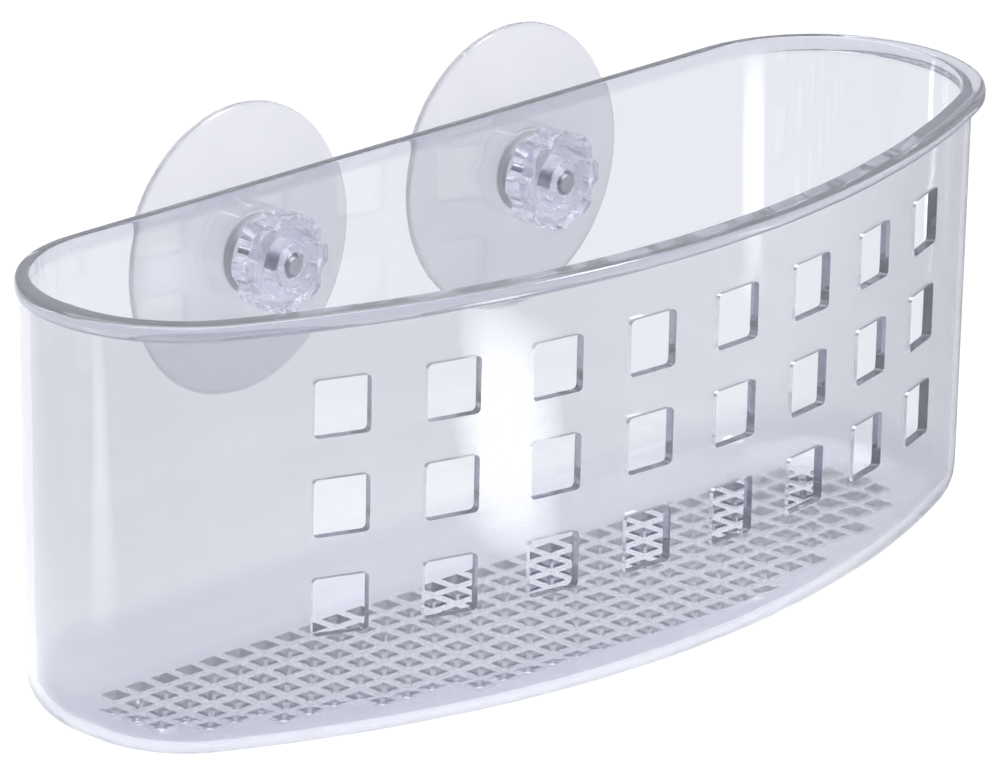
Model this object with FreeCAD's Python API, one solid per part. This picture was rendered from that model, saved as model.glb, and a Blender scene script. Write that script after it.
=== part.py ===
"""Suction-cup shower caddy: a clear D-shaped basket on two suction-cup fixings.

Axes: +X along the wall, +Y into the wall, +Z up. Millimetres.
Origin: centre of the whole caddy's plan, on the plane of the basket's underside.
"""
import FreeCAD
import Part

import math
import os

Vec = FreeCAD.Vector
X_AXIS = Vec(1, 0, 0)
Y_AXIS = Vec(0, 1, 0)
Z_AXIS = Vec(0, 0, 1)

# ---- driving dimensions: basket
WIDTH = 240.0           # over the rim, along the wall
DEPTH = 86.0            # back of the basket to the front of the rim
HEIGHT = 90.0           # underside of the floor to the top of the rim
END_RADIUS = 32.5       # plan radius of the rounded ends, at the rim
WALL = 2.0              # wall thickness
FLOOR = 2.2             # floor thickness
RIM_OVERHANG = 2.6      # how far the rim stands out from the ends and the front
RIM_HEIGHT = 3.4        # depth of the rim band
RIM_ROUND = 1.2         # rounding of the rim's outer edges
DRAFT = 2.3             # how much the ends and front lean in from rim to floor
BOTTOM_ROUND = 10.0     # rounding between walls and floor, outside

# ---- driving dimensions: holes of the basket
HOLE = 11.6             # side of a square hole in the front
HOLE_ROUND = 1.0        # corner radius of a square hole
HOLE_COLUMNS = 8
HOLE_ROWS = 3
COLUMN_PITCH = 23.4     # along the bow of the front
ROW_PITCH = 20.0
LOWEST_HOLE_Z = 24.5    # lower edge of the lowest row
DRAIN_HOLE = 4.4        # side of a square drain hole in the floor
DRAIN_PITCH = 6.6
DRAIN_MARGIN = 1.0      # flat floor kept outside the lattice

# ---- driving dimensions: suction-cup fixings, along the axis of each stud
CUP_X = 37.5            # each side of the caddy's middle
CUP_Z = 74.5            # height of the stud axes
CUP_RADIUS = 29.2
CUP_LENGTH = 7.0        # basket's back face to the bathroom wall
CUP_LIP = 0.9           # thickness of the lip
LIP_BAND = 2.0          # width of the flat that meets the bathroom wall
CUP_CROWN = 4.2         # basket's back face to the top of the cup's hollow
BOSS_RADIUS = 8.0
BOSS_LENGTH = 1.8
STUD_RADIUS = 2.5       # M5
STUD_HOLE_RADIUS = 2.58
STUD_HEAD_RADIUS = 5.5
STUD_HEAD_START = 1.2   # basket's back face to the head's front
STUD_HEAD_LENGTH = 1.4
STUD_REACH = 10.6       # basket's back face to the free end, inwards
STUD_CHAMFER = 0.5
WASHER_RADIUS = 8.0
WASHER_BORE_RADIUS = 2.6
WASHER_LENGTH = 0.8
KNOB_RADIUS = 10.2
KNOB_LENGTH = 6.6
KNOB_BORE_RADIUS = 2.55
KNOB_FLUTES = 8
KNOB_FLUTE_RADIUS = 3.2
KNOB_FLUTE_DEPTH = 1.1
KNOB_DISH_RADIUS = 7.4
KNOB_DISH_DEPTH = 4.2
KNOB_BOSS_RADIUS = 4.6
KNOB_BOSS_PROUD = 0.8   # the boss stands out of the knob's face
KNOB_ROUND = 0.6

# ---- derived places
OVERALL_DEPTH = DEPTH + CUP_LENGTH
BACK_Y = OVERALL_DEPTH / 2 - CUP_LENGTH     # outside face of the back wall
INNER_BACK_Y = BACK_Y - WALL
FRONT_Y = BACK_Y - DEPTH                    # middle of the rim's front
END_X = WIDTH / 2 - END_RADIUS              # centre of the right-hand end arc
END_Y = BACK_Y - END_RADIUS

# ---- the rim's front bow, which runs tangent into both end arcs
BOW_DROP = END_Y - FRONT_Y
BOW_RADIUS = (END_X ** 2 + BOW_DROP ** 2 - END_RADIUS ** 2) / (2 * (BOW_DROP - END_RADIUS))
BOW_CENTRE_Y = FRONT_Y + BOW_RADIUS
BOW_MEETS_END = math.atan2(END_Y - BOW_CENTRE_Y, END_X)
MIRROR_SIDES = (("left", -1), ("right", 1))


def end_curves(points):
    """Arc, straight side and arc through six points of an end; no side where it has no length."""
    first = Part.Arc(*points[:3])
    second = Part.Arc(*points[3:])
    if points[2].isEqual(points[3], 1e-6):
        return [first, second]
    return [first, Part.LineSegment(points[2], points[3]), second]


def plan_outline(inset, back_inset, z):
    """D-shaped outline inset from the rim's; the bow and the ends' front arcs keep their centres."""
    radius = END_RADIUS - inset
    back_centre_y = END_Y + inset - back_inset
    stops = ((math.pi / 2, back_centre_y), (math.pi / 4, back_centre_y), (0, back_centre_y),
             (0, END_Y), (BOW_MEETS_END / 2, END_Y), (BOW_MEETS_END, END_Y))
    right = [Vec(END_X + radius * math.cos(a), y + radius * math.sin(a), z) for a, y in stops]
    left = [Vec(-point.x, point.y, z) for point in reversed(right)]
    back = Part.LineSegment(left[-1], right[0])
    front = Part.Arc(right[-1], Vec(0, FRONT_Y + inset, z), left[0])
    curves = [back] + end_curves(right) + [front] + end_curves(left)
    return Part.Wire([curve.toShape() for curve in curves])


def wall_inset(z):
    """Inset of the walls' outside from the rim's outline at a height."""
    return RIM_OVERHANG + DRAFT * (HEIGHT - z) / HEIGHT


def edges_at(shape, z):
    """Edges that lie wholly at one height."""
    return [e for e in shape.Edges if abs(e.BoundBox.ZMin - z) < 1e-4 and abs(e.BoundBox.ZMax - z) < 1e-4]


def tub(extra_inset, low_z, high_z, bottom_round):
    """Solid D-shaped tub with drafted walls and a rounded bottom edge."""
    low = plan_outline(wall_inset(low_z) + extra_inset, extra_inset, low_z)
    high = plan_outline(wall_inset(high_z) + extra_inset, extra_inset, high_z)
    solid = Part.makeLoft([low, high], True, True)
    return solid.makeFillet(bottom_round, edges_at(solid, low_z))


def rim_band():
    """Flat band round the top that the rim is cut from, its outer edges rounded."""
    face = Part.Face(plan_outline(0, 0, HEIGHT - RIM_HEIGHT))
    band = face.extrude(Vec(0, 0, RIM_HEIGHT))
    rounded = edges_at(band, HEIGHT) + edges_at(band, HEIGHT - RIM_HEIGHT)
    outer = [e for e in rounded if e.BoundBox.YMin < BACK_Y - 1]
    return band.makeFillet(RIM_ROUND, outer)


def front_hole_cutters():
    """Square punches through the bowed front, each along its own normal."""
    wall_radius = BOW_RADIUS - RIM_OVERHANG
    reach = 8 * WALL
    cutters = []
    for column in range(HOLE_COLUMNS):
        along = (column - (HOLE_COLUMNS - 1) / 2) * COLUMN_PITCH
        angle = math.degrees(along / wall_radius)
        for row in range(HOLE_ROWS):
            low_z = LOWEST_HOLE_Z + row * ROW_PITCH
            corner = Vec(-HOLE / 2, BOW_CENTRE_Y - wall_radius - reach / 2, low_z)
            punch = Part.makeBox(HOLE, reach, HOLE, corner)
            corners = [e for e in punch.Edges if abs(e.BoundBox.YLength - reach) < 1e-4]
            punch = punch.makeFillet(HOLE_ROUND, corners)
            punch.rotate(Vec(0, BOW_CENTRE_Y, 0), Z_AXIS, angle)
            cutters.append(punch)
    return cutters


def drain_cutters():
    """Square punches of the drain lattice, kept on the flat of the floor."""
    inset = wall_inset(0) + BOTTOM_ROUND + DRAIN_MARGIN
    flat = Part.Face(plan_outline(inset, BOTTOM_ROUND + DRAIN_MARGIN, 0))
    middle_y = flat.BoundBox.Center.y
    half = DRAIN_HOLE / 2
    columns = int(WIDTH / 2 / DRAIN_PITCH)
    rows = int(DEPTH / 2 / DRAIN_PITCH)
    cutters = []
    for column in range(-columns, columns + 1):
        for row in range(-rows, rows + 1):
            x = column * DRAIN_PITCH
            y = middle_y + (row + 0.5) * DRAIN_PITCH
            corners = [Vec(x + i * half, y + j * half, 0) for i in (-1, 1) for j in (-1, 1)]
            if all(flat.isInside(corner, 1e-4, True) for corner in corners):
                low = Vec(x - half, y - half, -FLOOR)
                cutters.append(Part.makeBox(DRAIN_HOLE, DRAIN_HOLE, 3 * FLOOR, low))
    return cutters


def disc(radius, start, length, side):
    """Cylinder along a stud axis; start is counted from the basket's back face, +Y."""
    base = Vec(side * CUP_X, BACK_Y + start, CUP_Z)
    return Part.makeCylinder(radius, length, base, Y_AXIS)


def make_basket():
    """Tub with its rim, hollowed and pierced."""
    body = tub(0, 0, HEIGHT, BOTTOM_ROUND).fuse(rim_band()).removeSplitter()
    above = HEIGHT + FLOOR
    body = body.cut(tub(WALL, FLOOR, above, BOTTOM_ROUND - WALL))
    studs = [disc(STUD_HOLE_RADIUS, -2 * WALL, 3 * WALL, side) for name, side in MIRROR_SIDES]
    return body.cut(front_hole_cutters() + drain_cutters() + studs)


def make_stud(side):
    """Screw with a flat round head, its free end chamfered."""
    shank_start = -STUD_REACH
    shank = disc(STUD_RADIUS, shank_start, STUD_REACH + STUD_HEAD_START, side)
    end = [e for e in shank.Edges if abs(e.BoundBox.YMax - (BACK_Y + shank_start)) < 1e-4]
    shank = shank.makeChamfer(STUD_CHAMFER, end)
    head = disc(STUD_HEAD_RADIUS, STUD_HEAD_START, STUD_HEAD_LENGTH, side)
    return shank.fuse(head).removeSplitter()


def sphere_centre(inner_radius, inner_along, outer_radius, outer_along):
    """Place on the axis of a sphere's centre, the sphere passing through two rings."""
    inner = inner_radius ** 2 + inner_along ** 2
    outer = outer_radius ** 2 + outer_along ** 2
    return (outer - inner) / (2 * (outer_along - inner_along))


def make_cup(side, stud):
    """Dished disc with a boss, turned about the stud axis and moulded round the screw's head."""
    axis = Vec(side * CUP_X, BACK_Y, CUP_Z)

    def at(radius, along):
        return axis + Vec(radius, along, 0)

    lip_front = CUP_LENGTH - CUP_LIP
    lip_inner = CUP_RADIUS - LIP_BAND
    dome_centre = sphere_centre(BOSS_RADIUS, BOSS_LENGTH, CUP_RADIUS, lip_front)
    hollow_centre = sphere_centre(0, CUP_CROWN, lip_inner, CUP_LENGTH)

    def on_sphere(centre, radius, along, share):
        """Point of the arc about a centre on the axis, part of the way out to a rim point."""
        sphere_radius = math.hypot(radius, along - centre)
        return at(share * radius, centre - math.sqrt(sphere_radius ** 2 - (share * radius) ** 2))

    dome_middle = on_sphere(dome_centre, CUP_RADIUS, lip_front, 0.6)
    hollow_middle = on_sphere(hollow_centre, lip_inner, CUP_LENGTH, 0.5)
    profile = [
        Part.LineSegment(at(0, 0), at(BOSS_RADIUS, 0)),
        Part.LineSegment(at(BOSS_RADIUS, 0), at(BOSS_RADIUS, BOSS_LENGTH)),
        Part.Arc(at(BOSS_RADIUS, BOSS_LENGTH), dome_middle, at(CUP_RADIUS, lip_front)),
        Part.LineSegment(at(CUP_RADIUS, lip_front), at(CUP_RADIUS, CUP_LENGTH)),
        Part.LineSegment(at(CUP_RADIUS, CUP_LENGTH), at(lip_inner, CUP_LENGTH)),
        Part.Arc(at(lip_inner, CUP_LENGTH), hollow_middle, at(0, CUP_CROWN)),
        Part.LineSegment(at(0, CUP_CROWN), at(0, 0)),
    ]
    face = Part.Face(Part.Wire([curve.toShape() for curve in profile]))
    return face.revolve(axis, Y_AXIS, 360).cut(stud)


def make_washer(side):
    """Flat ring between the knob and the inside of the back wall."""
    start = -WALL - WASHER_LENGTH
    ring = disc(WASHER_RADIUS, start, WASHER_LENGTH, side)
    return ring.cut(disc(WASHER_BORE_RADIUS, start - 1, WASHER_LENGTH + 2, side))


def make_knob(side):
    """Fluted thumb knob with a dished face and a proud central boss."""
    back = -WALL - WASHER_LENGTH
    face = back - KNOB_LENGTH
    body = disc(KNOB_RADIUS, face, KNOB_LENGTH, side)
    rims = [e for e in body.Edges if e.BoundBox.YLength < 1e-4]
    body = body.makeFillet(KNOB_ROUND, rims)
    flute_centre = KNOB_RADIUS + KNOB_FLUTE_RADIUS - KNOB_FLUTE_DEPTH
    for flute in range(KNOB_FLUTES):
        angle = 2 * math.pi * (flute + 0.5) / KNOB_FLUTES
        offset = Vec(flute_centre * math.cos(angle), 0, flute_centre * math.sin(angle))
        cutter = disc(KNOB_FLUTE_RADIUS, face - 1, KNOB_LENGTH + 2, side)
        cutter.translate(offset)
        body = body.cut(cutter)
    dish = disc(KNOB_DISH_RADIUS, face, KNOB_DISH_DEPTH, side)
    boss = disc(KNOB_BOSS_RADIUS, face - KNOB_BOSS_PROUD, KNOB_LENGTH + KNOB_BOSS_PROUD, side)
    bore = disc(KNOB_BORE_RADIUS, face - 5, KNOB_LENGTH + 10, side)
    return body.cut(dish).fuse(boss).removeSplitter().cut(bore)


def write_part(node, shape):
    """Write one sub-part as a STEP file of solids."""
    assert shape.isValid(), node
    solids = shape.Solids
    solid = solids[0] if len(solids) == 1 else Part.makeCompound(solids)
    solid.exportStep(os.path.join("parts", node + ".step"))
    box = solid.BoundBox
    print(node, len(solids), "solid", round(solid.Volume), "mm3",
          [round(v, 2) for v in (box.XMin, box.XMax, box.YMin, box.YMax, box.ZMin, box.ZMax)])


os.makedirs("parts", exist_ok=True)
write_part("basket", make_basket())
for side_name, side_sign in MIRROR_SIDES:
    screw = make_stud(side_sign)
    write_part("stud_" + side_name, screw)
    write_part("suction_cup_" + side_name, make_cup(side_sign, screw))
    write_part("washer_" + side_name, make_washer(side_sign))
    write_part("knob_" + side_name, make_knob(side_sign))
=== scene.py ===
"""Looks of a clear plastic shower caddy on two suction cups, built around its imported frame.

Everything is in metres in the frame's own axes: +X along the bathroom wall, +Y into that wall,
+Z up, and z = 0 on the basket's underside.
"""

import logging
import math
from dataclasses import dataclass
from enum import Enum
from typing import Callable, NamedTuple, Sequence

import bmesh
import bpy
from bmesh.types import BMEdge, BMesh, BMFace, BMVert
from mathutils import Matrix, Vector


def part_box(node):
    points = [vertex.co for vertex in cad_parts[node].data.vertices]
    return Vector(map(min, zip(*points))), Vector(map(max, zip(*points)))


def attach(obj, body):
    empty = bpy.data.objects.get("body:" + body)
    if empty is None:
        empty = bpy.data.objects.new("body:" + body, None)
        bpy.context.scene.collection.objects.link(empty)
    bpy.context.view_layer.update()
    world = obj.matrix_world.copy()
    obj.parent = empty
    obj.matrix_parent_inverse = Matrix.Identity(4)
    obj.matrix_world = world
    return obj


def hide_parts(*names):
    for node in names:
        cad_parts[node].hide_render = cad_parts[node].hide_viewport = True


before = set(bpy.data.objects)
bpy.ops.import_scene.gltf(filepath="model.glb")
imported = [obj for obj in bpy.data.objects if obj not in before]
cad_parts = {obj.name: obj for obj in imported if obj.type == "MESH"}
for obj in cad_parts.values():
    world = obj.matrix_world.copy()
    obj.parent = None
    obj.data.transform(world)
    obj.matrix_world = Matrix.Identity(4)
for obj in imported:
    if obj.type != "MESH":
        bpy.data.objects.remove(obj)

LOG = logging.getLogger("caddy")
MM = 0.001
TINY = 1e-6
# Face attribute that carries the painted shade on the holes' sides.
HOLE_SHADE_MARK = "painted_hole_shade"


# ---------------------------------------------------------------- shader expressions

class Wave:
    """A number that varies over a surface: a node socket that ordinary arithmetic works on."""

    def __init__(self, tree: bpy.types.NodeTree, socket: bpy.types.NodeSocket) -> None:
        """Wrap a socket.

        Args:
            tree: The node tree that the socket is in.
            socket: The output that holds the number.
        """
        self.tree = tree
        self.socket = socket

    def _math(self, operation: str, first: "Wave | float", second: "Wave | float") -> "Wave":
        """Add one Math node.

        Args:
            operation: The Math node's operation.
            first: Its first number.
            second: Its second number.

        Returns:
            The node's result.
        """
        node = self.tree.nodes.new("ShaderNodeMath")
        node.operation = operation
        for slot, value in zip(node.inputs, (first, second)):
            if isinstance(value, Wave):
                self.tree.links.new(value.socket, slot)
            else:
                slot.default_value = value
        return Wave(self.tree, node.outputs[0])

    def __add__(self, other: "Wave | float") -> "Wave":
        """Sum."""
        return self._math("ADD", self, other)

    def __radd__(self, other: float) -> "Wave":
        """Sum, number first."""
        return self._math("ADD", other, self)

    def __sub__(self, other: "Wave | float") -> "Wave":
        """Difference."""
        return self._math("SUBTRACT", self, other)

    def __rsub__(self, other: float) -> "Wave":
        """Difference, number first."""
        return self._math("SUBTRACT", other, self)

    def __mul__(self, other: "Wave | float") -> "Wave":
        """Product."""
        return self._math("MULTIPLY", self, other)

    def __rmul__(self, other: float) -> "Wave":
        """Product, number first."""
        return self._math("MULTIPLY", other, self)

    def __pow__(self, other: float) -> "Wave":
        """Power."""
        return self._math("POWER", self, other)

    def ramp(self, start: float, end: float) -> "Wave":
        """Climb from 0 at the start value to 1 at the end value, and stay there.

        Args:
            start: The value that gives 0.
            end: The value that gives 1.

        Returns:
            The climbing number.
        """
        node = self.tree.nodes.new("ShaderNodeMapRange")
        self.tree.links.new(self.socket, node.inputs["Value"])
        node.inputs["From Min"].default_value = start
        node.inputs["From Max"].default_value = end
        return Wave(self.tree, node.outputs["Result"])


class Shader:
    """One material's node tree, with a single way to add a node."""

    def __init__(self, name: str) -> None:
        """Start an empty material.

        Args:
            name: The material's name.
        """
        self.material = bpy.data.materials.new(name)
        self.material.use_nodes = True
        self.tree = self.material.node_tree
        self.tree.nodes.clear()

    def node(self, kind: str, settings: dict[str, object] | None = None,
             **sockets: object) -> bpy.types.Node:
        """Add a node.

        Args:
            kind: The node's type.
            settings: Its own options, which are set first.
            **sockets: Values or links of its inputs, with spaces written as underscores.

        Returns:
            The new node.
        """
        node = self.tree.nodes.new(kind)
        for key, value in (settings or {}).items():
            setattr(node, key, value)
        for key, value in sockets.items():
            slot = node.inputs[key.replace("_", " ")]
            if isinstance(value, Wave):
                self.tree.links.new(value.socket, slot)
            elif isinstance(value, bpy.types.NodeSocket):
                self.tree.links.new(value, slot)
            else:
                slot.default_value = value
        return node

    def place(self) -> bpy.types.NodeSocket:
        """Where a point is on the object, in metres."""
        return self.node("ShaderNodeTexCoord").outputs["Object"]

    def mark(self, name: str) -> Wave:
        """A number that the piece's faces carry.

        Args:
            name: The attribute's name.

        Returns:
            The number, 0 on a piece without it.
        """
        return Wave(self.tree, self.node("ShaderNodeAttribute", {"attribute_name": name}).outputs["Fac"])

    def height(self) -> Wave:
        """How high a point is on the object, in metres."""
        split = self.node("ShaderNodeSeparateXYZ", Vector=self.place())
        return Wave(self.tree, split.outputs["Z"])

    def noise(self, scale: float, detail: float = 2.0, stretch: Sequence[float] = (1, 1, 1)) -> Wave:
        """Cloudy noise between 0 and 1.

        Args:
            scale: Blotches to a metre.
            detail: Octaves of finer noise.
            stretch: How much denser it is along X, Y and Z.

        Returns:
            The noise.
        """
        mapped = self.node("ShaderNodeMapping", Vector=self.place(), Scale=tuple(stretch))
        noise = self.node("ShaderNodeTexNoise", Vector=mapped.outputs["Vector"], Scale=scale, Detail=detail)
        return Wave(self.tree, noise.outputs["Fac"])

    def tint(self, amount: Wave, low: Sequence[float], high: Sequence[float]) -> bpy.types.NodeSocket:
        """Colour that runs between two colours.

        Args:
            amount: 0 for the first colour, 1 for the second.
            low: The first colour.
            high: The second colour.

        Returns:
            The mixed colour.
        """
        mix = self.node("ShaderNodeMix", {"data_type": "RGBA"})
        self.tree.links.new(amount.socket, mix.inputs[0])
        mix.inputs[6].default_value = (*low, 1.0)
        mix.inputs[7].default_value = (*high, 1.0)
        return mix.outputs[2]

    def blend(self, amount: Wave, base: bpy.types.NodeSocket,
              filter_colour: Sequence[float]) -> bpy.types.NodeSocket:
        """Filter a colour where the amount is 1.

        Args:
            amount: 0 to leave the colour, 1 to multiply it.
            base: The colour.
            filter_colour: What it is multiplied by.

        Returns:
            The filtered colour.
        """
        mix = self.node("ShaderNodeMix", {"data_type": "RGBA", "blend_type": "MULTIPLY"})
        self.tree.links.new(amount.socket, mix.inputs[0])
        self.tree.links.new(base, mix.inputs[6])
        mix.inputs[7].default_value = (*filter_colour, 1.0)
        return mix.outputs[2]

    def relief(self, height: Wave, depth: float) -> bpy.types.NodeSocket:
        """Fine relief of a surface.

        Args:
            height: Height between 0 and 1.
            depth: What a height of 1 stands for, in metres.

        Returns:
            The normal.
        """
        return self.node("ShaderNodeBump", Height=height, Distance=depth, Strength=1.0).outputs["Normal"]

    def finish(self, **sockets: object) -> bpy.types.Material:
        """Close the tree with one Principled surface.

        Args:
            **sockets: Values or links of the surface's inputs.

        Returns:
            The material.
        """
        surface = self.node("ShaderNodeBsdfPrincipled", **sockets)
        self.node("ShaderNodeOutputMaterial", Surface=surface.outputs["BSDF"])
        return self.material


# ---------------------------------------------------------------- finishes

@dataclass(frozen=True)
class ClearStyrene:
    """Polished clear moulding plastic, with a cool cast, faint haze, moulding ripple, and painted shade at
    the rim, the foot and the holes' sides.
    """

    name: str
    thin: tuple[float, float, float]
    thick: tuple[float, float, float]
    ior: float = 1.57
    haze: float = 0.035
    clarity: float = 0.95
    ripple: float = 0.00002
    rim_start: float = 1.0
    foot_end: float = -1.0
    # painted shade: colour multiplied into the rim band and the foot
    painted_shade_tint: tuple[float, float, float] = (1.0, 1.0, 1.0)
    # painted shade: colour multiplied into the holes' sides
    painted_hole_shade_tint: tuple[float, float, float] = (0.42, 0.42, 0.49)

    def material(self) -> bpy.types.Material:
        """Make the material."""
        shader = Shader(self.name)
        flow = shader.noise(22.0, 2.0, (1.0, 1.0, 0.35))
        smear = shader.noise(160.0, 4.0, (1.0, 1.0, 0.2))
        speck = shader.noise(1900.0, 2.0)
        height = shader.height()
        # Painted shade: the band at the rim and the foot below foot_end are darkened, standing in for the
        # dark rim line and the shadow under the basket.
        rim = height.ramp(self.rim_start - 0.0006, self.rim_start + 0.0006)
        deep = rim + height.ramp(self.foot_end, self.foot_end - 0.006)
        body = shader.blend(deep, shader.tint(flow, self.thin, self.thick), self.painted_shade_tint)
        return shader.finish(
            # Painted shade darkens the holes' sides.
            Base_Color=shader.blend(shader.mark(HOLE_SHADE_MARK), body, self.painted_hole_shade_tint),
            Roughness=self.haze * (0.4 + 1.2 * smear) + 0.02 * speck ** 6.0,
            IOR=self.ior,
            Transmission_Weight=self.clarity,
            Normal=shader.relief(flow + 0.12 * smear, self.ripple),
        )


@dataclass(frozen=True)
class SoftVinyl:
    """Soft translucent vinyl: milky, a little cloudy, with a satin skin."""

    name: str
    pale: tuple[float, float, float]
    deep: tuple[float, float, float]

    def material(self) -> bpy.types.Material:
        """Make the material."""
        shader = Shader(self.name)
        cloud = shader.noise(90.0, 3.0)
        grain = shader.noise(1400.0, 3.0)
        return shader.finish(
            Base_Color=shader.tint(cloud, self.pale, self.deep),
            Roughness=0.16 + 0.14 * cloud,
            IOR=1.52,
            Transmission_Weight=0.82,
            Normal=shader.relief(grain, 0.000006),
        )


@dataclass(frozen=True)
class MilkyNylon:
    """Washer nylon: pale, half see-through and matt."""

    name: str
    colour: tuple[float, float, float]

    def material(self) -> bpy.types.Material:
        """Make the material."""
        shader = Shader(self.name)
        grain = shader.noise(2400.0, 3.0)
        shade = tuple(0.93 * part for part in self.colour)
        return shader.finish(
            Base_Color=shader.tint(grain, self.colour, shade),
            Roughness=0.34 + 0.18 * grain,
            IOR=1.53,
            Transmission_Weight=0.55,
            Normal=shader.relief(grain, 0.000008),
        )


@dataclass(frozen=True)
class ScrewSteel:
    """Plain zinc-dulled steel with drawn-out scratches along the screw."""

    name: str
    colour: tuple[float, float, float]

    def material(self) -> bpy.types.Material:
        """Make the material."""
        shader = Shader(self.name)
        drawn = shader.noise(2600.0, 4.0, (1.0, 0.15, 1.0))
        dull = shader.noise(420.0, 3.0)
        shade = tuple(0.62 * part for part in self.colour)
        return shader.finish(
            Base_Color=shader.tint(dull, self.colour, shade),
            Metallic=1.0,
            Roughness=0.24 + 0.22 * drawn,
            Normal=shader.relief(drawn, 0.000006),
        )


class Finish(Enum):
    """Every finish of the caddy, by the record's material slot."""

    # The clear plastic's rim band and foot carry painted shade.
    CLEAR_PLASTIC = ClearStyrene("clear_styrene", (0.785, 0.800, 0.820), (0.750, 0.765, 0.790),
                                 rim_start=0.0866, foot_end=0.013, painted_shade_tint=(0.85, 0.85, 0.895))
    KNOB_PLASTIC = ClearStyrene("knob_styrene", (0.84, 0.85, 0.92), (0.78, 0.79, 0.88), haze=0.06)
    SOFT_VINYL = SoftVinyl("soft_vinyl", (0.855, 0.86, 0.89), (0.805, 0.81, 0.85))
    WASHER_PLASTIC = MilkyNylon("milky_nylon", (0.88, 0.89, 0.93))
    STUD_STEEL = ScrewSteel("screw_steel", (0.52, 0.53, 0.56))

    def slot(self) -> str:
        """The record's name for this finish."""
        return self.name.lower()


MATERIALS: dict[Finish, bpy.types.Material] = {}


def material_of(finish: Finish) -> bpy.types.Material:
    """The material of a finish, made once.

    Args:
        finish: Which finish.

    Returns:
        Its material.
    """
    if finish not in MATERIALS:
        MATERIALS[finish] = finish.value.material()
    return MATERIALS[finish]


# ---------------------------------------------------------------- mesh helpers

CREASE = math.radians(32)


def object_of(name: str, mesh: BMesh) -> bpy.types.Object:
    """Turn a bmesh into an object of the scene.

    Args:
        name: The object's name.
        mesh: The bmesh, which is freed.

    Returns:
        The new object.
    """
    data = bpy.data.meshes.new(name)
    mesh.to_mesh(data)
    mesh.free()
    made = bpy.data.objects.new(name, data)
    bpy.context.scene.collection.objects.link(made)
    return made


def place_piece(mesh: BMesh, name: str, body: str, node: str, finish: Finish) -> bpy.types.Object:
    """Turn a finished bmesh into a piece that rides a body and stands for a CAD node.

    Args:
        mesh: The bmesh, which is freed.
        name: The piece's name.
        body: The body that it moves with.
        node: The CAD node that it stands for.
        finish: Its finish.

    Returns:
        The new object.
    """
    bmesh.ops.recalc_face_normals(mesh, faces=mesh.faces[:])
    for face in mesh.faces:
        face.smooth = True
    for edge in mesh.edges:
        edge.smooth = edge.is_manifold and edge.calc_face_angle(0.0) < CREASE
    piece = object_of(name, mesh)
    piece.data.materials.append(material_of(finish))
    piece.visible_shadow = False
    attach(piece, body)
    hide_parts(node)
    LOG.info("%s: %d faces, on %s", name, len(piece.data.polygons), body)
    return piece


class RingLoft:
    """A skin of rings: one circle, extruded ring after ring and set in place by station.

    Each vertex carries the station that it was started with, so every ring can be placed by
    one function of station and ring.
    """

    def __init__(self, stations: Sequence[float], place: Callable[[float, NamedTuple], Vector]) -> None:
        """Start with no rings.

        Args:
            stations: Where the vertices stand round each ring.
            place: Gives the place of a station on a ring.
        """
        self.mesh = bmesh.new()
        self.layer = self.mesh.verts.layers.float.new("station")
        # Layer for the painted shade on the holes' sides.
        self.mesh.faces.layers.float.new(HOLE_SHADE_MARK)
        self.stations = stations
        self.place = place
        self.first: list[BMEdge] = []
        self.last: list[BMEdge] = []

    def _settle(self, verts: Sequence[BMVert], ring: NamedTuple) -> None:
        """Move a ring's vertices to their places."""
        for vert in verts:
            vert.co = self.place(vert[self.layer], ring)

    def add(self, rings: Sequence[NamedTuple]) -> None:
        """Add rings to the skin, in order.

        Args:
            rings: The rings.
        """
        for ring in rings:
            if not self.last:
                made = bmesh.ops.create_circle(self.mesh, segments=len(self.stations), radius=1.0)
                verts = made["verts"]
                for vert, station in zip(verts, self.stations):
                    vert[self.layer] = station
                self.last = self.mesh.edges[:]
                self.first = self.last
            else:
                made = bmesh.ops.extrude_edge_only(self.mesh, edges=self.last)
                verts = [item for item in made["geom"] if isinstance(item, BMVert)]
                fresh = set(verts)
                self.last = [item for item in made["geom"]
                             if isinstance(item, BMEdge) and set(item.verts) <= fresh]
            self._settle(verts, ring)

    def cap(self) -> None:
        """Close the first and the last ring with a flat face each."""
        for edges in (self.first, self.last):
            bmesh.ops.contextual_create(self.mesh, geom=edges)

    def close(self) -> None:
        """Join the last ring to the first."""
        bmesh.ops.bridge_loops(self.mesh, edges=self.first + self.last)


def open_tunnel(mesh: BMesh, pair: Sequence[BMFace], shade: float) -> list[BMEdge]:
    """Open a hole between two faces and mark its sides for painted shade.

    Args:
        mesh: The mesh.
        pair: The faces at the hole's two mouths, which are removed.
        shade: How strongly painted shade darkens the hole's sides, from 0 to 1.

    Returns:
        The edges that run through the hole.
    """
    layer = mesh.faces.layers.float[HOLE_SHADE_MARK]
    loops = [edge for face in pair for edge in face.edges]
    bmesh.ops.delete(mesh, geom=pair, context="FACES_ONLY")
    made = bmesh.ops.bridge_loops(mesh, edges=loops)
    for face in made["faces"]:
        face[layer] = shade
    return list(made["edges"])


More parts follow.
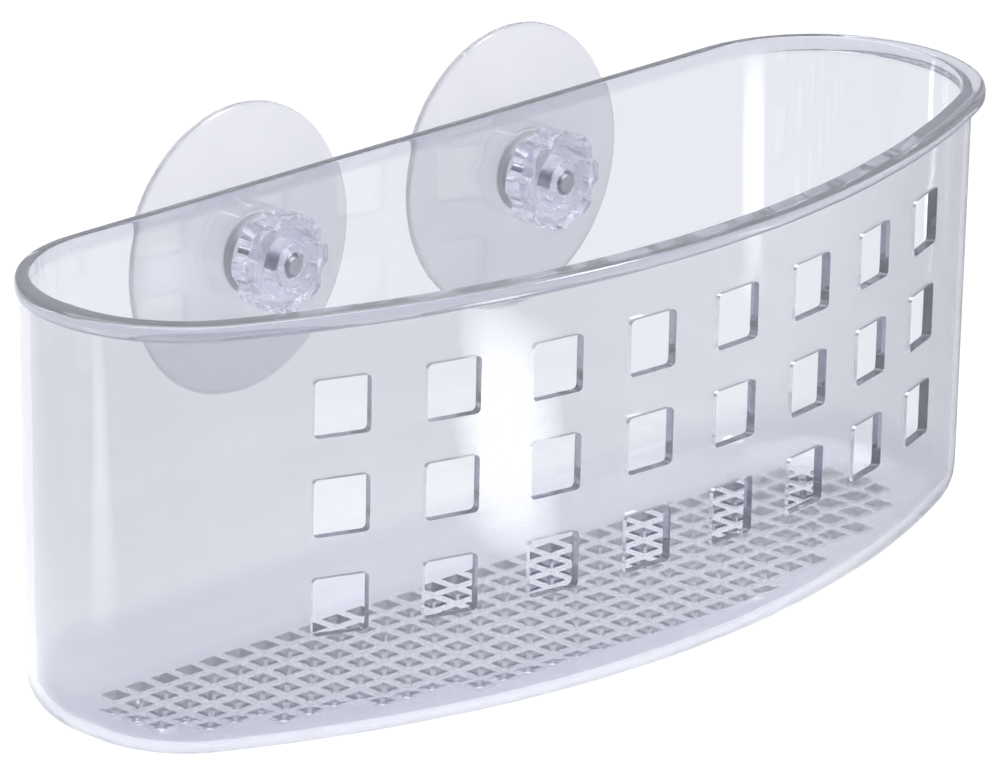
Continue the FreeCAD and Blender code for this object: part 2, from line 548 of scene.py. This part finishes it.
def turned(profile: Sequence[tuple[float, float]], centre: Vector, steps: int, closed: bool) -> BMesh:
    """Turn a profile about an axis along Y.

    Args:
        profile: Points of (radius, distance along +Y from the centre).
        centre: A point of the axis.
        steps: Facets round the axis.
        closed: Whether the profile's last point joins its first.

    Returns:
        The turned bmesh, poles and seam merged.
    """
    mesh = bmesh.new()
    verts = [mesh.verts.new(centre + Vector((radius, along, 0.0))) for radius, along in profile]
    pairs = list(zip(verts, verts[1:])) + ([(verts[-1], verts[0])] if closed else [])
    for pair in pairs:
        mesh.edges.new(pair)
    bmesh.ops.spin(mesh, geom=mesh.verts[:] + mesh.edges[:], cent=centre, axis=(0.0, 1.0, 0.0),
                   angle=2 * math.pi, steps=steps, use_merge=True)
    bmesh.ops.remove_doubles(mesh, verts=mesh.verts[:], dist=TINY)
    return mesh


def arc_points(centre: tuple[float, float], radius: float, start: float, end: float,
               steps: int) -> list[tuple[float, float]]:
    """Points of an arc in a profile's plane.

    Args:
        centre: The arc's centre.
        radius: Its radius.
        start: The angle that it starts at, in degrees.
        end: The angle that it ends at.
        steps: How many chords it has.

    Returns:
        The points, both ends included.
    """
    angles = [math.radians(start + (end - start) * step / steps) for step in range(steps + 1)]
    return [(centre[0] + radius * math.cos(a), centre[1] + radius * math.sin(a)) for a in angles]


# ---------------------------------------------------------------- basket

class Stretch(Enum):
    """The four stretches of the D-shaped plan, in order from the back's left end."""

    BACK = 0
    RIGHT_END = 1
    BOW = 2
    LEFT_END = 3


class Section(NamedTuple):
    """One level ring of the basket's skin."""

    inset: float
    back_inset: float
    height: float


@dataclass(frozen=True)
class Plan:
    """D-shaped plan: straight back, round ends, bowed front."""

    half_width: float
    depth: float
    back_y: float
    end_radius: float

    def bow(self, inset: float) -> tuple[float, float, float]:
        """The front bow at an inset, which keeps the centre of the rim's.

        Args:
            inset: Inset of the ends and the front.

        Returns:
            Its radius, its centre's y, and the angle at which it meets the right end.
        """
        front = self.back_y - self.depth
        end_x = self.half_width - self.end_radius
        end_y = self.back_y - self.end_radius
        drop = end_y - front
        top = end_x ** 2 + drop ** 2 - self.end_radius ** 2
        radius = top / (2 * (drop - self.end_radius))
        return radius - inset, front + radius, math.atan2(end_y - front - radius, end_x)

    def point(self, station: float, section: Section) -> Vector:
        """The place of a station: its whole part is the stretch, the rest the share along it.

        Args:
            station: From 0 to 4, round the plan.
            section: The ring.

        Returns:
            The place.
        """
        inset, back_inset, height = section
        stretch = Stretch(min(int(station), 3))
        share = station - stretch.value
        end_x = self.half_width - self.end_radius
        if stretch is Stretch.BACK:
            return Vector((end_x * (2 * share - 1), self.back_y - back_inset, height))
        radius, centre_y, meet = self.bow(inset)
        if stretch is Stretch.BOW:
            angle = meet + (-math.pi - 2 * meet) * share
            return Vector((radius * math.cos(angle), centre_y + radius * math.sin(angle), height))
        side = 1 if stretch is Stretch.RIGHT_END else -1
        share = share if side > 0 else 1 - share
        angle = math.pi / 2 + (meet - math.pi / 2) * share
        end_radius = self.end_radius - inset
        straight = inset - back_inset if angle > 0 else 0.0
        end_y = self.back_y - self.end_radius + straight
        return Vector((side * (end_x + end_radius * math.cos(angle)),
                       end_y + end_radius * math.sin(angle), height))

    def holds(self, x: float, y: float, inset: float, back_inset: float) -> bool:
        """Whether a point is inside the plan at an inset.

        Args:
            x: Its x.
            y: Its y.
            inset: Inset of the ends and the front.
            back_inset: Inset of the back.

        Returns:
            Whether it is inside.
        """
        radius, centre_y, _ = self.bow(inset)
        end_radius = self.end_radius - inset
        end_x = self.half_width - self.end_radius
        end_y = self.back_y - self.end_radius
        end_y += min(max(y - end_y, 0.0), inset - back_inset)
        beside = abs(x) > end_x and math.hypot(abs(x) - end_x, y - end_y) > end_radius
        below = math.hypot(x, y - centre_y) > radius
        return not beside and not below and y < self.back_y - back_inset


@dataclass
class Basket:
    """The clear D-shaped basket: walls, rim, pierced front and drain floor in one moulding."""

    plan: Plan
    height: float
    axis_x: float
    axis_z: float
    wall: float = 2.0 * MM
    floor: float = 2.2 * MM
    overhang: float = 2.6 * MM
    rim_height: float = 3.4 * MM
    rim_round: float = 1.2 * MM
    lip_round: float = 0.6 * MM
    draft: float = 2.3 * MM
    bottom_round: float = 10.0 * MM
    hole: float = 11.6 * MM
    hole_round: float = 1.0 * MM
    hole_columns: int = 8
    hole_rows: int = 3
    column_pitch: float = 23.4 * MM
    row_pitch: float = 20.0 * MM
    lowest_hole: float = 24.5 * MM
    drain_hole: float = 4.4 * MM
    drain_pitch: float = 6.6 * MM
    drain_margin: float = 1.0 * MM
    stud_hole: float = 2.58 * MM
    stud_patch: float = 6.0 * MM
    end_steps: int = 28
    round_steps: int = 8

    def wall_inset(self, height: float) -> float:
        """Inset of the walls' outside from the rim's outline at a height."""
        return self.overhang + self.draft * (self.height - height) / self.height

    def hole_levels(self) -> list[tuple[float, float]]:
        """The lower and upper level of each row of holes."""
        lows = [self.lowest_hole + row * self.row_pitch for row in range(self.hole_rows)]
        return [(low, low + self.hole) for low in lows]

    def hole_spans(self) -> list[tuple[float, float]]:
        """The stations between which each column of holes lies, from the right end."""
        middle = self.height / 2
        radius, _, meet = self.plan.bow(self.wall_inset(middle))
        half_length = radius * (meet + math.pi / 2)
        spans = []
        for column in range(self.hole_columns):
            along = ((self.hole_columns - 1) / 2 - column) * self.column_pitch
            edges = (along + self.hole / 2, along - self.hole / 2)
            spans.append(tuple(Stretch.BOW.value + 0.5 * (1 - edge / half_length) for edge in edges))
        return spans

    def stations(self) -> list[float]:
        """Where the skin's vertices stand round the plan."""
        end_x = self.plan.half_width - self.plan.end_radius
        edges = sorted(side * self.axis_x + shift
                       for side in (-1, 1) for shift in (-self.stud_patch, self.stud_patch))
        back = [0.0] + [(x / end_x + 1) / 2 for x in edges]
        right = [Stretch.RIGHT_END.value + step / self.end_steps for step in range(self.end_steps)]
        left = [Stretch.LEFT_END.value + step / self.end_steps for step in range(self.end_steps)]
        cuts = [cut for span in self.hole_spans() for cut in span]
        bow = [float(Stretch.BOW.value)]
        for cut in cuts + [float(Stretch.LEFT_END.value)]:
            gap = cut - bow[-1]
            steps = 1 if cut in [span[1] for span in self.hole_spans()] else max(1, round(gap / 0.024))
            bow += [bow[-1] + gap * step / steps for step in range(1, steps)] + [cut]
        return back + right + bow[:-1] + left

    def sections(self) -> list[Section]:
        """The rings of the skin: under the floor, up the outside, over the rim, down the inside."""
        quarter = [math.radians(90 * step / self.round_steps) for step in range(self.round_steps + 1)]
        levels = [level for pair in self.hole_levels() for level in pair]
        above = levels[-1] + 0.5 * (self.height - self.rim_height - levels[-1])
        rings = []
        for angle in quarter:
            out = self.bottom_round * (1 - math.sin(angle))
            height = self.bottom_round * (1 - math.cos(angle))
            rings.append(Section(self.wall_inset(height) + out, out, height))
        under_rim = self.height - self.rim_height
        for height in levels + [above, under_rim]:
            rings.append(Section(self.wall_inset(height), 0.0, height))
        for angle in quarter[::2]:
            rings.append(Section(self.rim_round * (1 - math.sin(angle)), 0.0,
                                 under_rim + self.rim_round * (1 - math.cos(angle))))
        for angle in quarter[::2]:
            back_in = self.lip_round * (1 - math.cos(angle))
            rings.append(Section(self.rim_round * (1 - math.cos(angle)), back_in,
                                 self.height - self.rim_round * (1 - math.sin(angle))))
        for angle in quarter[::2]:
            height = self.height - self.lip_round * (1 - math.cos(angle))
            short = self.lip_round * (1 - math.sin(angle))
            rings.append(Section(self.wall_inset(height) + self.wall - short, self.wall - short, height))
        inner_round = self.bottom_round - self.wall
        for height in [under_rim, above] + levels[::-1]:
            rings.append(Section(self.wall_inset(height) + self.wall, self.wall, height))
        for angle in quarter[::-1]:
            out = self.wall + inner_round * (1 - math.sin(angle))
            height = self.floor + inner_round * (1 - math.cos(angle))
            rings.append(Section(self.wall_inset(height) + out, out, height))
        return rings

    def pierce_front(self, loft: RingLoft) -> None:
        """Open the square holes through both skins of the front and round their corners.

        Args:
            loft: The basket's skin.
        """
        mesh, layer = loft.mesh, loft.layer
        cells: dict[tuple[int, int], list[BMFace]] = {}
        for face in mesh.faces:
            stations = [vert[layer] for vert in face.verts]
            heights = [vert.co.z for vert in face.verts]
            for column, span in enumerate(self.hole_spans()):
                if abs(min(stations) - span[0]) > 1e-4 or abs(max(stations) - span[1]) > 1e-4:
                    continue
                for row, level in enumerate(self.hole_levels()):
                    if abs(min(heights) - level[0]) < TINY and abs(max(heights) - level[1]) < TINY:
                        cells.setdefault((column, row), []).append(face)
        tunnels = []
        for pair in cells.values():
            tunnels += open_tunnel(mesh, pair, 1.0)
        bmesh.ops.bevel(mesh, geom=tunnels, offset=self.hole_round, segments=4, profile=0.5,
                        affect="EDGES", material=-1)
        mesh.normal_update()
        # Painted shade stays on the holes' sides only; the wall faces lose it.
        mark = mesh.faces.layers.float[HOLE_SHADE_MARK]
        centre_y = self.plan.bow(0.0)[1]
        for face in mesh.faces:
            middle = face.calc_center_median()
            outward = Vector((middle.x, middle.y - centre_y, 0.0)).normalized()
            if abs(face.normal.dot(outward)) > 0.7:
                face[mark] = 0.0
        LOG.info("front: %d holes", len(cells))

    def drain_cells(self) -> list[tuple[float, float]]:
        """Centres of the drain holes that lie whole on the floor's flat."""
        inset = self.wall_inset(0) + self.bottom_round + self.drain_margin
        back_inset = self.bottom_round + self.drain_margin
        middle = self.plan.back_y - (self.plan.depth - inset + back_inset) / 2
        half = self.drain_hole / 2
        columns = int(self.plan.half_width / self.drain_pitch)
        rows = int(self.plan.depth / 2 / self.drain_pitch)
        cells = []
        for column in range(-columns, columns + 1):
            for row in range(-rows, rows + 1):
                x = column * self.drain_pitch
                y = middle + (row + 0.5) * self.drain_pitch
                corners = [(x + i * half, y + j * half) for i in (-1, 1) for j in (-1, 1)]
                if all(self.plan.holds(*corner, inset, back_inset) for corner in corners):
                    cells.append((x, y))
        return cells

    def pierce_floor(self, mesh: BMesh) -> None:
        """Cut the drain lattice through the floor.

        Args:
            mesh: The basket's skin, closed.
        """
        cells = self.drain_cells()
        half = self.drain_hole / 2
        lines_x = sorted({round(x + shift, 7) for x, _ in cells for shift in (-half, half)})
        lines_y = sorted({round(y + shift, 7) for _, y in cells for shift in (-half, half)})
        cuts = [((x, 0, 0), (1, 0, 0)) for x in lines_x] + [((0, y, 0), (0, 1, 0)) for y in lines_y]
        flats = [face for face in mesh.faces if len(face.verts) > 8 and abs(face.normal.z) > 0.99]
        for flat in flats:
            region = [flat]
            for point, normal in cuts:
                geometry = [item for face in region for item in (face, *face.edges, *face.verts)]
                made = bmesh.ops.bisect_plane(mesh, geom=list(dict.fromkeys(geometry)), dist=TINY / 10,
                                              plane_co=point, plane_no=normal)
                fresh = [item for item in made["geom"] if isinstance(item, BMFace)]
                region = list(dict.fromkeys(fresh + [face for face in region if face.is_valid]))
        wanted = {(round(x / MM, 2), round(y / MM, 2)) for x, y in cells}
        size = self.drain_hole ** 2
        pairs: dict[tuple[float, float], list[BMFace]] = {}
        for face in mesh.faces:
            middle = face.calc_center_median()
            key = (round(middle.x / MM, 2), round(middle.y / MM, 2))
            if key in wanted and abs(face.calc_area() - size) < 0.01 * size and abs(face.normal.z) > 0.99:
                pairs.setdefault(key, []).append(face)
        for pair in pairs.values():
            # The drain holes' sides get a lighter painted shade.
            open_tunnel(mesh, pair, 0.35)
        LOG.info("floor: %d drain holes", len(pairs))

    def pierce_back(self, mesh: BMesh) -> None:
        """Open the round stud holes through the back wall.

        Args:
            mesh: The basket's skin.
        """
        for side in (-1, 1):
            rings = []
            for depth in (0.0, self.wall):
                y = self.plan.back_y - depth
                patch = [face for face in mesh.faces if self._is_patch(face, side, y)]
                edges = dict.fromkeys(edge for face in patch for edge in face.edges)
                border = [edge for edge in edges if sum(f in patch for f in edge.link_faces) == 1]
                bmesh.ops.delete(mesh, geom=patch, context="FACES")
                turn = Matrix.Translation((side * self.axis_x, y, self.axis_z)) @ \
                    Matrix.Rotation(math.pi / 2, 4, "X")
                circle = bmesh.ops.create_circle(mesh, segments=32, radius=self.stud_hole, matrix=turn)
                ring = list(dict.fromkeys(edge for vert in circle["verts"] for edge in vert.link_edges))
                bmesh.ops.bridge_loops(mesh, edges=border + ring)
                rings += ring
            bmesh.ops.bridge_loops(mesh, edges=rings)

    def _is_patch(self, face: BMFace, side: int, y: float) -> bool:
        """Whether a face of the back wall lies in the patch round a stud."""
        middle = face.calc_center_median()
        near = abs(middle.x - side * self.axis_x) < self.stud_patch / 2
        low = self.hole_levels()[-1][0]
        return near and abs(middle.y - y) < TINY and low < middle.z < self.height - self.rim_height

    def build(self) -> bpy.types.Object:
        """Make the basket's piece."""
        loft = RingLoft(self.stations(), self.plan.point)
        loft.add(self.sections())
        loft.cap()
        bmesh.ops.remove_doubles(loft.mesh, verts=loft.mesh.verts[:], dist=TINY)
        self.pierce_back(loft.mesh)
        self.pierce_front(loft)
        bmesh.ops.recalc_face_normals(loft.mesh, faces=loft.mesh.faces[:])
        self.pierce_floor(loft.mesh)
        return place_piece(loft.mesh, "basket_moulding", "basket", "basket", Finish.CLEAR_PLASTIC)


# ---------------------------------------------------------------- suction-cup fixing

class KnobRing(NamedTuple):
    """One ring of the knob's skin."""

    radius: float
    along: float
    fluted: bool


@dataclass
class Fixing:
    """One suction cup with its stud, washer and thumb knob, all about one axis along Y."""

    side: str
    axis: Vector
    gap: float = 0.05 * MM
    wall: float = 2.0 * MM
    cup_radius: float = 29.2 * MM
    cup_length: float = 7.0 * MM
    cup_lip: float = 0.9 * MM
    lip_band: float = 2.0 * MM
    cup_crown: float = 4.2 * MM
    boss_radius: float = 8.0 * MM
    boss_length: float = 1.8 * MM
    boss_fillet: float = 0.7 * MM
    stud_radius: float = 2.5 * MM
    stud_core: float = 2.08 * MM
    thread_pitch: float = 0.8 * MM
    thread_steps: int = 28
    head_radius: float = 5.5 * MM
    head_start: float = 1.2 * MM
    head_length: float = 1.4 * MM
    stud_reach: float = 10.6 * MM
    washer_radius: float = 8.0 * MM
    washer_bore: float = 2.6 * MM
    washer_length: float = 0.8 * MM
    knob_radius: float = 10.2 * MM
    knob_length: float = 6.6 * MM
    knob_bore: float = 2.55 * MM
    knob_round: float = 0.6 * MM
    knob_steps: int = 160
    flutes: int = 8
    flute_radius: float = 3.2 * MM
    flute_depth: float = 1.1 * MM
    dish_radius: float = 7.4 * MM
    dish_depth: float = 4.2 * MM
    knob_boss: float = 4.6 * MM
    boss_proud: float = 0.8 * MM

    def named(self, piece: str) -> str:
        """A piece's or node's name with this side's ending."""
        return f"{piece}_{self.side}"

    def cup_profile(self) -> list[tuple[float, float]]:
        """Half section of the cup, from the boss's middle round the lip to the hollow's middle."""
        lip_front = self.cup_length - self.cup_lip
        low = self.boss_radius ** 2 + self.boss_length ** 2
        high = self.cup_radius ** 2 + lip_front ** 2
        dome_centre = (high - low) / (2 * (lip_front - self.boss_length))
        dome = math.hypot(self.cup_radius, lip_front - dome_centre)
        inner = self.cup_radius - self.lip_band
        drop = self.cup_length - self.cup_crown
        hollow = (inner ** 2 + drop ** 2) / (2 * drop)
        fillet, edge = self.boss_fillet, 0.35 * MM
        points = [(0.0, self.gap)]
        points += arc_points((self.boss_radius - edge, self.gap + edge), edge, -90, 0, 3)
        boss_end = (self.boss_radius + fillet, self.boss_length - 0.2 * fillet)
        points += arc_points(boss_end, fillet, 180, 100, 4)
        reach = [self.boss_radius + 2.2 * fillet, 12 * MM, 15 * MM, 18 * MM, 21 * MM, 24 * MM, 26.5 * MM,
                 28.4 * MM]
        points += [(r, dome_centre - math.sqrt(dome ** 2 - r ** 2)) for r in reach]
        lip = 0.45 * MM
        points += arc_points((self.cup_radius - lip, self.cup_length - lip), lip, -60, 90, 6)
        points.append((inner, self.cup_length))
        shares = [0.985, 0.94, 0.85, 0.7, 0.55, 0.4, 0.25, 0.12]
        top = self.cup_crown + hollow
        points += [(inner * s, top - math.sqrt(hollow ** 2 - (inner * s) ** 2)) for s in shares]
        return points + [(0.0, self.cup_crown)]

    def build_cup(self) -> bpy.types.Object:
        """Make the soft cup."""
        mesh = turned(self.cup_profile(), self.axis, 112, closed=False)
        return place_piece(mesh, self.named("cup_disc"), self.named("cup"), self.named("suction_cup"),
                           Finish.SOFT_VINYL)

    def build_stud(self) -> bpy.types.Object:
        """Make the screw: turned core and head, with a helical thread."""
        free_end = -self.stud_reach
        chamfer = 0.5 * MM
        profile = [
            (0.0, free_end), (self.stud_core - 0.3 * MM, free_end), (self.stud_core, free_end + chamfer),
            (self.stud_core, self.head_start), (self.head_radius - 0.2 * MM, self.head_start),
            (self.head_radius, self.head_start + 0.2 * MM),
            (self.head_radius, self.head_start + self.head_length - 0.2 * MM),
            (self.head_radius - 0.2 * MM, self.head_start + self.head_length),
            (0.0, self.head_start + self.head_length)]
        mesh = turned(profile, self.axis, 48, closed=False)
        self.add_thread(mesh, free_end + chamfer, -self.gap)
        return place_piece(mesh, self.named("stud_screw"), self.named("cup"), self.named("stud"),
                           Finish.STUD_STEEL)

    def add_thread(self, mesh: BMesh, start: float, end: float) -> None:
        """Wind the thread's ridge round the core.

        Args:
            mesh: The stud's bmesh.
            start: Where the ridge starts along the axis.
            end: Where it ends.
        """
        root, crest = self.stud_core - 0.1 * MM, self.stud_radius
        half = 0.46 * self.thread_pitch
        flat = 0.06 * self.thread_pitch
        shape = [(root, -half), (crest, -flat), (crest, flat), (root, half)]
        verts = [mesh.verts.new(self.axis + Vector((r, start + half + y, 0.0))) for r, y in shape]
        ridge = mesh.faces.new(verts)
        turns = (end - start - 2 * half) / self.thread_pitch
        steps = int(turns * self.thread_steps)
        rise = (0.0, self.thread_pitch / self.thread_steps, 0.0)
        bmesh.ops.spin(mesh, geom=[ridge, *ridge.edges, *ridge.verts], cent=self.axis, axis=(0.0, 1.0, 0.0),
                       dvec=rise, angle=2 * math.pi * steps / self.thread_steps, steps=steps)

    def build_washer(self) -> bpy.types.Object:
        """Make the washer, its edges rounded."""
        back = -self.wall - self.gap
        front = -self.wall - self.washer_length + self.gap
        edge = 0.15 * MM
        profile = []
        for centre_r, centre_y, angle in ((self.washer_radius - edge, back - edge, 90),
                                          (self.washer_radius - edge, front + edge, 0),
                                          (self.washer_bore + edge, front + edge, -90),
                                          (self.washer_bore + edge, back - edge, -180)):
            profile += arc_points((centre_r, centre_y), edge, angle, angle - 90, 2)
        mesh = turned(profile, self.axis, 72, closed=True)
        return place_piece(mesh, self.named("washer_ring"), self.named("washer"), self.named("washer"),
                           Finish.WASHER_PLASTIC)

    def knob_place(self, station: float, ring: KnobRing) -> Vector:
        """The place of a station on the knob's skin.

        Args:
            station: The angle round the axis.
            ring: The ring.

        Returns:
            The place.
        """
        spacing = 2 * math.pi / self.flutes
        offset = (station % spacing) - spacing / 2
        centre = self.knob_radius + self.flute_radius - self.flute_depth
        across = centre * math.sin(offset)
        radius = ring.radius
        if ring.fluted and abs(across) < self.flute_radius:
            valley = centre * math.cos(offset) - math.sqrt(self.flute_radius ** 2 - across ** 2)
            radius -= max(0.0, self.knob_radius - valley)
        return self.axis + Vector((radius * math.cos(station), ring.along, radius * math.sin(station)))

    def build_knob(self) -> bpy.types.Object:
        """Make the fluted thumb knob."""
        back = -self.wall - self.washer_length
        face = back - self.knob_length
        edge = self.knob_round
        stations = [2 * math.pi * step / self.knob_steps for step in range(self.knob_steps)]
        floor = face + self.dish_depth
        corner = 0.4 * MM
        rings = [KnobRing(self.knob_bore, back, False), KnobRing(self.knob_radius - edge, back, True)]
        rings += [KnobRing(r, y, True) for r, y in
                  arc_points((self.knob_radius - edge, back - edge), edge, 90, 0, 4)[1:]]
        rings += [KnobRing(r, y, True) for r, y in
                  arc_points((self.knob_radius - edge, face + edge), edge, 0, -90, 4)]
        rings += [KnobRing(r, y, False) for r, y in
                  arc_points((self.dish_radius + corner, face + corner), corner, -90, -180, 3)]
        rings += [KnobRing(r, y, False) for r, y in
                  arc_points((self.dish_radius - corner, floor - corner), corner, 0, 90, 3)]
        rings += [KnobRing(r, y, False) for r, y in
                  arc_points((self.knob_boss + corner, floor - corner), corner, 90, 180, 3)]
        top = face - self.boss_proud
        rings += [KnobRing(r, y, False) for r, y in
                  arc_points((self.knob_boss - corner, top + corner), corner, 0, -90, 3)]
        rings.append(KnobRing(self.knob_bore + 0.3 * MM, top, False))
        rings.append(KnobRing(self.knob_bore, top + 0.3 * MM, False))
        loft = RingLoft(stations, self.knob_place)
        loft.add(rings)
        loft.close()
        return place_piece(loft.mesh, self.named("thumb_knob"), self.named("knob"), self.named("knob"),
                           Finish.KNOB_PLASTIC)

    def build(self) -> None:
        """Make the whole fixing."""
        self.build_cup()
        self.build_stud()
        self.build_washer()
        self.build_knob()


# ---------------------------------------------------------------- studio

@dataclass
class Lamp:
    """One soft rectangular light that looks at the caddy."""

    name: str
    place: tuple[float, float, float]
    size: tuple[float, float]
    power: float
    colour: tuple[float, float, float] = (1.0, 1.0, 1.0)

    def build(self, aim: Vector) -> None:
        """Hang the light.

        Args:
            aim: What it looks at.
        """
        data = bpy.data.lights.new(self.name, "AREA")
        data.shape = "RECTANGLE"
        data.size, data.size_y = self.size
        data.energy = self.power
        data.color = self.colour
        lamp = bpy.data.objects.new(self.name, data)
        lamp.location = self.place
        lamp.rotation_euler = (aim - Vector(self.place)).to_track_quat("-Z", "Y").to_euler()
        bpy.context.scene.collection.objects.link(lamp)


def hide_from_all_but_mirrors(card: bpy.types.Object) -> None:
    """Leave a card visible to mirror reflections only."""
    card.visible_camera = False
    card.visible_diffuse = False
    card.visible_shadow = False
    card.visible_transmission = False


@dataclass
class GlintCard:
    """A small glowing card, soft-edged, that the plastic mirrors as a glint."""

    name: str
    middle: tuple[float, float, float]
    size: tuple[float, float]
    heading: float
    glow: float
    standing: bool = False

    def build(self) -> None:
        """Set up the card, where no lens or matt surface sees it."""
        mesh = bmesh.new()
        bmesh.ops.create_grid(mesh, x_segments=1, y_segments=1, size=1.0)
        card = object_of(self.name, mesh)
        card.location = self.middle
        card.rotation_euler = (math.radians(90 if self.standing else 0), 0.0, math.radians(self.heading))
        card.scale = (self.size[0] / 2, self.size[1] / 2, 1.0)
        hide_from_all_but_mirrors(card)
        shader = Shader(self.name)
        split = shader.node("ShaderNodeSeparateXYZ", Vector=shader.place())
        across = Wave(shader.tree, split.outputs["X"])
        along = Wave(shader.tree, split.outputs["Y"])
        soft = (1.0 - across * across) * (1.0 - along * along)
        card.data.materials.append(shader.finish(
            Base_Color=(0.0, 0.0, 0.0, 1.0), Emission_Color=(1.0, 1.0, 1.0, 1.0),
            Emission_Strength=self.glow, Alpha=soft))


@dataclass
class SideCard:
    """A grey card on the floor beside the caddy, soft-edged, that only reflections see: a painted darker
    reflection on the basket's right side.
    """

    low: tuple[float, float] = (0.05, -0.13)
    high: tuple[float, float] = (0.75, 0.55)
    soft: float = 0.08

    def build(self) -> None:
        """Lay the card just above the floor."""
        mesh = bmesh.new()
        middle = [(low + high) / 2 for low, high in zip(self.low, self.high)]
        size = [high - low for low, high in zip(self.low, self.high)]
        bmesh.ops.create_grid(mesh, x_segments=1, y_segments=1, size=0.5, matrix=Matrix.LocRotScale(
            Vector((*middle, 0.4 * MM)), None, Vector((*size, 1.0))))
        card = object_of("side_card", mesh)
        hide_from_all_but_mirrors(card)
        shader = Shader("grey_card")
        place = shader.node("ShaderNodeSeparateXYZ", Vector=shader.place())
        fades = [Wave(shader.tree, place.outputs[axis]).ramp(edge, edge + self.soft)
                 for axis, edge in enumerate(self.low)]
        # Its grey is a painted reflection, seen in the plastic only.
        card.data.materials.append(shader.finish(
            Base_Color=shader.tint(shader.noise(20.0), (0.22, 0.22, 0.25), (0.20, 0.20, 0.23)),
            Roughness=0.9,
            Alpha=fades[0] * fades[1]))


@dataclass
class Studio:
    """White floor, soft lights and the camera."""

    aim: Vector = Vector((-16.75, -6.5, 53.7)) * MM
    azimuth: float = -45.03
    elevation: float = 19.04
    roll: float = 0.36
    distance: float = 2.145
    lens: float = 398.7
    floor_size: float = 12.0
    sky: tuple[float, float, float] = (0.47, 0.47, 0.52)

    def build_camera(self) -> None:
        """Stand the camera in front, to the left and above."""
        data = bpy.data.cameras.new("camera")
        data.lens = self.lens
        data.clip_end = 30.0
        camera = bpy.data.objects.new("camera", data)
        turn = math.radians(self.azimuth)
        tilt = math.radians(self.elevation)
        away = Vector((math.sin(turn) * math.cos(tilt), -math.cos(turn) * math.cos(tilt), math.sin(tilt)))
        camera.location = self.aim + self.distance * away
        level = away.to_track_quat("Z", "Y")
        camera.rotation_mode = "QUATERNION"
        camera.rotation_quaternion = level @ Matrix.Rotation(math.radians(self.roll), 3, "Z").to_quaternion()
        bpy.context.scene.collection.objects.link(camera)
        bpy.context.scene.camera = camera

    def build_floor(self) -> None:
        """Lay the plain pale floor."""
        mesh = bmesh.new()
        bmesh.ops.create_grid(mesh, x_segments=4, y_segments=4, size=self.floor_size / 2)
        floor = object_of("floor", mesh)
        floor.location.z = -0.1 * MM
        shader = Shader("floor_paper")
        grain = shader.noise(30.0)
        floor.data.materials.append(shader.finish(
            Base_Color=shader.tint(grain, (0.90, 0.90, 0.90), (0.88, 0.88, 0.88)), Roughness=0.9))

    def build_sky(self) -> None:
        """Set the plain soft light all round."""
        world = bpy.data.worlds.new("soft_light")
        world.use_nodes = True
        world.node_tree.nodes["Background"].inputs["Color"].default_value = (*self.sky, 1.0)
        world.node_tree.nodes["Background"].inputs["Strength"].default_value = 1.0
        bpy.context.scene.world = world

    def build(self) -> None:
        """Set the whole studio."""
        self.build_camera()
        self.build_floor()
        self.build_sky()
        for lamp in (Lamp("overhead", (0.0, 0.3, 2.2), (3.0, 3.0), 55.0),
                     Lamp("window", (0.96, -1.37, 1.09), (0.3, 0.5), 8.0)):
            lamp.build(self.aim)
        GlintCard("front_card", (-0.018, -0.113, 0.028), (0.048, 0.055), 56.3, 10.0, standing=True).build()
        GlintCard("end_card", (-0.256, 0.057, 0.001), (0.05, 0.20), -112.0, 3.0).build()
        corner_place = (0.0980, 0.0312, 0.060)
        GlintCard("corner_card", corner_place, (0.0032, 0.056), 11.0, 9.0, standing=True).build()
        SideCard().build()
        cycles = bpy.context.scene.cycles
        cycles.max_bounces = 32
        cycles.transmission_bounces = 32
        cycles.glossy_bounces = 16
        view = bpy.context.scene.view_settings
        view.view_transform = "Standard"
        view.look = "None"
        LOG.info("studio set")


def corners(box: tuple[Vector, Vector]) -> list[list[float]]:
    """A box's lowest and highest corners as plain lists."""
    return [[float(value) for value in corner] for corner in box]


def main() -> None:
    """Build the caddy and its studio, piece by piece, sized from the basket's and the stud's boxes."""
    logging.basicConfig(level=logging.INFO, format="%(name)s %(message)s")
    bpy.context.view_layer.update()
    Studio().build()
    low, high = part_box("basket")
    stud_low, stud_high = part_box("stud_right")
    stud_axis = (stud_low + stud_high) / 2
    plan = Plan(half_width=(high.x - low.x) / 2, depth=high.y - low.y, back_y=high.y, end_radius=32.5 * MM)
    Basket(plan=plan, height=high.z, axis_x=stud_axis.x, axis_z=stud_axis.z).build()
    for side, sign in (("left", -1), ("right", 1)):
        Fixing(side, Vector((sign * stud_axis.x, plan.back_y, stud_axis.z))).build()


if __name__ == "__main__":
    main()
